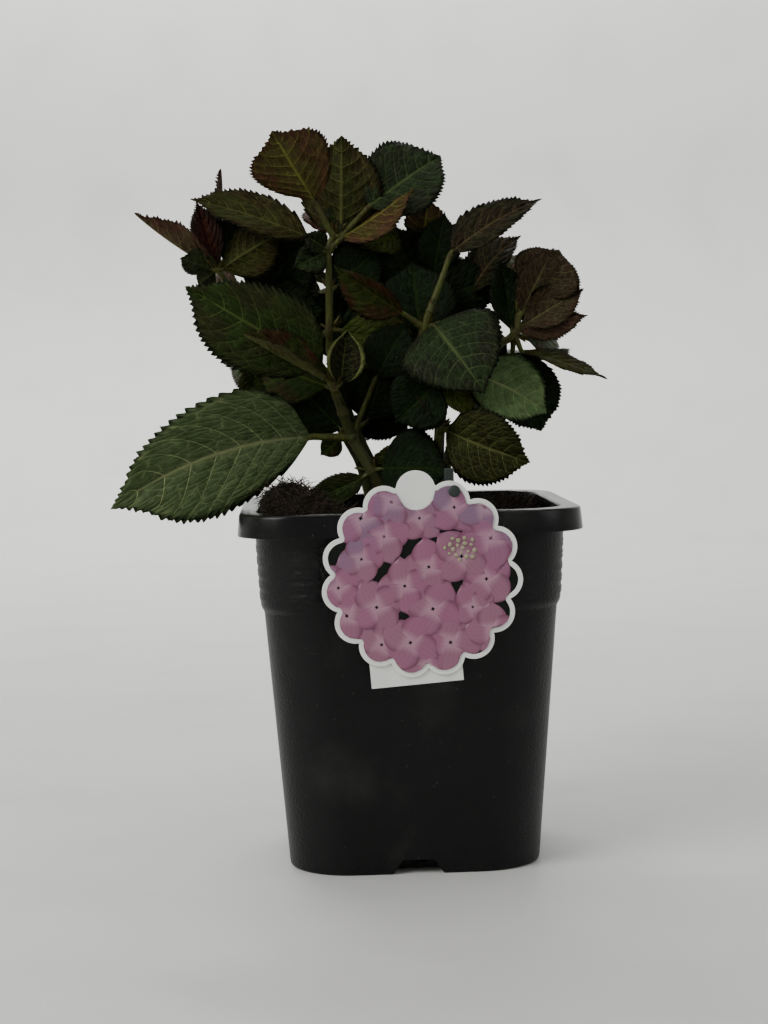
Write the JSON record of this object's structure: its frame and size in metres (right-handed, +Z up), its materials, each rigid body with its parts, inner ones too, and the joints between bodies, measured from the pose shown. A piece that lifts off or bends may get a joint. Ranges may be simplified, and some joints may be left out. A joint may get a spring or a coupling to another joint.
{
  "type": "potted hydrangea shrub",
  "caption": "Young hydrangea shrub with broad serrated leaves, standing in a square black nursery pot with soil and a flower-shaped picture label hung on the rim.",
  "frame": {"origin": "middle of the pot's flat underside, on the surface it stands on", "axes": "+Z up along the pot's axis and the plant, -Y towards the front that carries the label, +X to the right of someone who faces the label"},
  "size_m": [0.2594, 0.243, 0.3754],
  "materials": {
    "pot": "black moulded plastic, satin lip",
    "soil": "dark fibrous peat",
    "bark": "green-brown young bark with fine lenticels",
    "leaf": "soft matt leaf, serrated and quilted between its veins",
    "card": "printed glossy card with white border",
    "tab": "plain white card",
    "peg": "black moulded plastic"
  },
  "bodies": {
    "root": {"bough_back_left": "bark", "bough_back_middle": "bark", "bough_back_right": "bark", "bough_centre": "bark", "bough_centre_back": "bark", "bough_far_left": "bark", "bough_leader": "bark", "bough_low_right": "bark", "bough_right": "bark", "foliage_back_left": "leaf", "foliage_back_middle": "leaf", "foliage_back_right": "leaf", "foliage_centre": "leaf", "foliage_centre_back": "leaf", "foliage_far_left": "leaf", "foliage_front_left": "leaf", "foliage_leader": "leaf", "foliage_low_right": "leaf", "foliage_right": "leaf", "label_card": "card", "label_peg": "peg", "label_tab": "tab", "leaf_behind_middle": "leaf", "leaf_behind_right": "leaf", "leaf_foot_left": "leaf", "leaf_foot_right": "leaf", "leaf_inner_left": "leaf", "leaf_inner_right": "leaf", "leaf_low_back": "leaf", "leaf_low_centre": "leaf", "leaf_low_left": "leaf", "leaf_low_right": "leaf", "leaf_low_upper": "leaf", "main_stem": "bark", "pot": "pot", "soil": "soil"}
  },
  "joints": []
}
